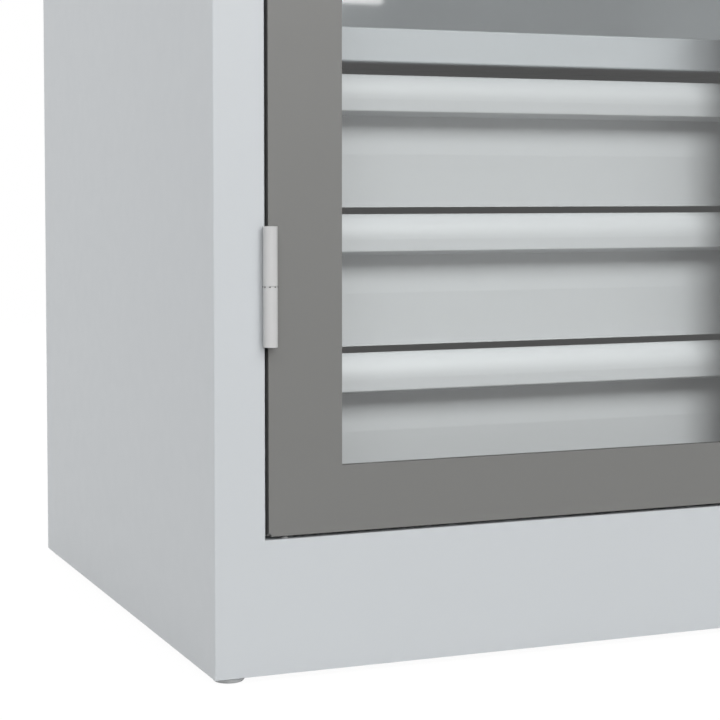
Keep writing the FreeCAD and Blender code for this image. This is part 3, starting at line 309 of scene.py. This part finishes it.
def clear_sheet(name):
    """Clear acrylic sheet: light passes straight through, and the outer face mirrors for both faces."""
    finish = Finish(name)
    clear = finish.add("ShaderNodeBsdfTransparent")
    clear.inputs["Color"].default_value = SHEET_TINT
    finish.set(Metallic=1.0)
    finish.colour(finish.mixed(finish.noise(SHEET_PATCH), *SHEET_MIRROR_TINTS))
    finish.roughness(finish.between(finish.noise(SHEET_PATCH), *SHEET_GLOSS))
    fresnel = finish.add("ShaderNodeFresnel")
    fresnel.inputs["IOR"].default_value = SHEET_IOR
    surface = finish.add("ShaderNodeNewGeometry")
    mirror = finish.add("ShaderNodeMath", operation="MULTIPLY", use_clamp=True)
    finish.links.new(fresnel.outputs["Fac"], mirror.inputs[0])
    mirror.inputs[1].default_value = SHEET_MIRRORS
    outer = finish.add("ShaderNodeMath", operation="SUBTRACT", use_clamp=True)
    finish.links.new(mirror.outputs[0], outer.inputs[0])
    finish.links.new(surface.outputs["Backfacing"], outer.inputs[1])
    mix = finish.add("ShaderNodeMixShader")
    finish.links.new(outer.outputs[0], mix.inputs["Fac"])
    finish.links.new(clear.outputs["BSDF"], mix.inputs[1])
    finish.links.new(finish.shader.outputs["BSDF"], mix.inputs[2])
    finish.links.new(mix.outputs["Shader"], finish.output.inputs["Surface"])
    return finish.material


def make_finishes():
    """The finish of each material slot in the record."""
    # Painted highlights: the drawer fronts' sharp edges, as at the grip tops and hems, much lighter;
    # the door's edges a little lighter
    drawer_paint = powder_coat("drawer_finish", DRAWER_GREY, roughness=0.48, ior=1.6, edge_highlight=1.3)
    return {
        "casing_paint": powder_coat("casing_finish", CASING_GREY),
        "door_paint": powder_coat("door_finish", DOOR_GREY, edge_highlight=1.08),
        "drawer_paint": drawer_paint,
        "shelf_paint": powder_coat("shelf_finish", SHELF_GREY),
        "hinge_paint": powder_coat("hinge_finish", HINGE_GREY, roughness=0.35),
        "window_plastic": clear_sheet("window_finish"),
        "seal_rubber": moulded_plastic("seal_finish", RUBBER_BLACK, roughness=0.7),
        "steel": plated_steel("steel_finish", STEEL_GREY, roughness=0.28),
        "zinc_steel": plated_steel("zinc_finish", ZINC_GREY, roughness=0.34),
        "cage_steel": plated_steel("cage_finish", ZINC_GREY, roughness=0.24, mottle=0.04),
        "handle_plastic": moulded_plastic("handle_finish", BLACK_PLASTIC),
        "guide_plastic": moulded_plastic("guide_finish", GLIDE_WHITE),
        "glide_plastic": moulded_plastic("glide_finish", GLIDE_WHITE, roughness=0.3),
        "foot_plastic": moulded_plastic("foot_finish", FOOT_GREY),
        "cylinder_chrome": plated_steel("chrome_finish", CHROME_GREY, roughness=0.14, mottle=0.02),
    }


def dress_nodes(finishes):
    """Gives each node of the frame the finish of its slot."""
    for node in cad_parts.values():
        for slot in node.material_slots:
            slot.material = finishes[slot.material.name]


def backdrop_share(tree):
    """1 for a ray that shows the background itself, straight, mirrored or through the panes."""
    path = tree.nodes.new("ShaderNodeLightPath")
    share = path.outputs["Is Camera Ray"]
    for kind in ("Is Glossy Ray", "Is Transmission Ray"):
        largest = tree.nodes.new("ShaderNodeMath")
        largest.operation = "MAXIMUM"
        tree.links.new(share, largest.inputs[0])
        tree.links.new(path.outputs[kind], largest.inputs[1])
        share = largest.outputs[0]
    direct = tree.nodes.new("ShaderNodeMath")
    direct.operation = "LESS_THAN"
    direct.inputs[1].default_value = 0.5
    tree.links.new(path.outputs["Diffuse Depth"], direct.inputs[0])
    both = tree.nodes.new("ShaderNodeMath")
    both.operation = "MULTIPLY"
    tree.links.new(share, both.inputs[0])
    tree.links.new(direct.outputs[0], both.inputs[1])
    return both.outputs[0]


def make_world():
    """White where it is seen, and a softer even light where it lights the part."""
    world = bpy.data.worlds.new("studio_world")
    world.use_nodes = True
    tree = world.node_tree
    background = tree.nodes["Background"]
    background.inputs["Color"].default_value = (1, 1, 1, 1)
    level = tree.nodes.new("ShaderNodeMapRange")
    level.inputs["To Min"].default_value = WORLD_LEVEL
    level.inputs["To Max"].default_value = BACKDROP_LEVEL
    tree.links.new(backdrop_share(tree), level.inputs["Value"])
    tree.links.new(level.outputs["Result"], background.inputs["Strength"])
    bpy.context.scene.world = world


def floor_finish():
    """White to the eye with a faint shadow. It fades out to the backdrop and isn't there for a
    view from below."""
    material = bpy.data.materials.new("floor_finish")
    material.use_nodes = True
    tree = material.node_tree
    tree.nodes.clear()
    output = tree.nodes.new("ShaderNodeOutputMaterial")
    matt = tree.nodes.new("ShaderNodeBsdfDiffuse")
    matt.inputs["Color"].default_value = (*FLOOR_COLOUR, 1)
    glow = tree.nodes.new("ShaderNodeEmission")
    glow.inputs["Strength"].default_value = FLOOR_GLOW
    share = tree.nodes.new("ShaderNodeMath")
    share.operation = "MULTIPLY"
    share.inputs[1].default_value = FLOOR_WHITENESS
    tree.links.new(backdrop_share(tree), share.inputs[0])
    surface = tree.nodes.new("ShaderNodeMixShader")
    tree.links.new(share.outputs[0], surface.inputs["Fac"])
    tree.links.new(matt.outputs["BSDF"], surface.inputs[1])
    tree.links.new(glow.outputs["Emission"], surface.inputs[2])
    place = tree.nodes.new("ShaderNodeTexCoord")
    distance = tree.nodes.new("ShaderNodeVectorMath")
    distance.operation = "LENGTH"
    tree.links.new(place.outputs["Object"], distance.inputs[0])
    fade = tree.nodes.new("ShaderNodeMapRange")
    fade.interpolation_type = "SMOOTHSTEP"
    fade.inputs["From Min"].default_value = FLOOR_FADE[0]
    fade.inputs["From Max"].default_value = FLOOR_FADE[1]
    tree.links.new(distance.outputs["Value"], fade.inputs["Value"])
    side = tree.nodes.new("ShaderNodeNewGeometry")
    unseen = tree.nodes.new("ShaderNodeMath")
    unseen.operation = "MAXIMUM"
    tree.links.new(fade.outputs["Result"], unseen.inputs[0])
    tree.links.new(side.outputs["Backfacing"], unseen.inputs[1])
    gone = tree.nodes.new("ShaderNodeBsdfTransparent")
    whole = tree.nodes.new("ShaderNodeMixShader")
    tree.links.new(unseen.outputs[0], whole.inputs["Fac"])
    tree.links.new(surface.outputs["Shader"], whole.inputs[1])
    tree.links.new(gone.outputs["BSDF"], whole.inputs[2])
    tree.links.new(whole.outputs["Shader"], output.inputs["Surface"])
    return material


def make_floor():
    """A pale round floor under the feet."""
    mesh = bpy.data.meshes.new("floor")
    turns = [2 * math.pi * corner / FLOOR_CORNERS for corner in range(FLOOR_CORNERS)]
    rim = [(FLOOR_RADIUS * math.cos(turn), FLOOR_RADIUS * math.sin(turn), 0) for turn in turns]
    mesh.from_pydata(rim, [], [tuple(range(FLOOR_CORNERS))])
    mesh.materials.append(floor_finish())
    floor = bpy.data.objects.new("floor", mesh)
    floor.location = (0, 0, cad_box[0].z)
    bpy.context.scene.collection.objects.link(floor)


def make_lamp(name, azimuth, elevation, distance, width, height, power):
    """A large soft box that faces the aim."""
    turn = math.radians(azimuth)
    rise = math.radians(elevation)
    level = math.cos(rise)
    away = Vector((math.sin(turn) * level, -math.cos(turn) * level, math.sin(rise)))
    lamp = bpy.data.lights.new(name, "AREA")
    lamp.shape = "RECTANGLE"
    lamp.size = width
    lamp.size_y = height
    lamp.energy = power
    holder = bpy.data.objects.new(name, lamp)
    holder.location = LAMP_AIM + away * distance
    holder.rotation_euler = (-away).to_track_quat("-Z", "Y").to_euler()
    bpy.context.scene.collection.objects.link(holder)
    return holder


def link_lamp(holder, nodes, state):
    """Makes a lamp light only those nodes, or all but those."""
    group = bpy.data.collections.new(f"{holder.name}_nodes")
    for node in nodes:
        group.objects.link(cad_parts[node])
    for member in group.collection_objects:
        member.light_linking.link_state = state
    holder.light_linking.receiver_collection = group


def make_lamps():
    """Keys and fills round the part. The drawer fronts lie deep behind the doors, so lamps of
    their own light them in place of the right key and the low front fill."""
    for lamp in LAMPS:
        make_lamp(*lamp)
    for lamp in CASING_LAMPS:
        link_lamp(make_lamp(*lamp), DRAWER_FRONTS, "EXCLUDE")
    for count, lamp in DRAWER_LAMPS:
        link_lamp(make_lamp(*lamp), DRAWER_FRONTS[:count], "INCLUDE")


def make_shade_beads(finishes):
    """Beads round the washer of each hinge, between its two halves. Their black is painted shade, the
    dark of the split between the halves.
    """
    low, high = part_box("hinge_washers")
    rim = (high.y - low.y) / 2
    levels = [low.z + WASHER_HEIGHT / 2, high.z - WASHER_HEIGHT / 2]
    flattened = Matrix.Diagonal((BEAD_RADIUS, BEAD_RADIUS, BEAD_HALF_HEIGHT, 1))
    mesh = bmesh.new()
    for x in (low.x + rim, high.x - rim):
        for z in levels:
            for step in range(BEAD_COUNT):
                turn = 2 * math.pi * (step + 0.5) / BEAD_COUNT
                away = Vector((math.cos(turn), math.sin(turn), 0)) * rim
                middle = Vector((x, low.y + rim, z)) + away
                bmesh.ops.create_icosphere(
                    mesh,
                    subdivisions=BEAD_DETAIL,
                    radius=1,
                    matrix=Matrix.Translation(middle) @ flattened,
                )
    # The seal's black finish gives the beads their painted shade
    beads = as_object(mesh, "hinge_shade_beads", "seal_rubber", finishes)
    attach(beads, "cabinet")


def as_object(mesh, name, slot, finishes):
    """A bmesh as an object of that material slot."""
    data = bpy.data.meshes.new(name)
    mesh.to_mesh(data)
    mesh.free()
    data.polygons.foreach_set("use_smooth", [True] * len(data.polygons))
    data.materials.append(finishes[slot])
    obj = bpy.data.objects.new(name, data)
    bpy.context.scene.collection.objects.link(obj)
    return obj


def make_camera():
    """The photograph's view of the lower left corner."""
    lens = bpy.data.cameras.new("camera")
    lens.lens = LENS
    lens.sensor_width = SENSOR_WIDTH
    lens.shift_y = CAMERA_SHIFT
    lens.clip_start, lens.clip_end = CAMERA_CLIP
    camera = bpy.data.objects.new("camera", lens)
    camera.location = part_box("side_panel_left")[0] + CAMERA_FROM_CORNER
    camera.rotation_euler = (math.pi / 2 - CAMERA_PITCH, 0, -CAMERA_YAW)
    bpy.context.scene.collection.objects.link(camera)
    bpy.context.scene.camera = camera


bpy.context.scene.view_settings.view_transform = "Standard"
make_camera()
make_world()
make_floor()
make_lamps()
finishes = make_finishes()
dress_nodes(finishes)
make_shade_beads(finishes)
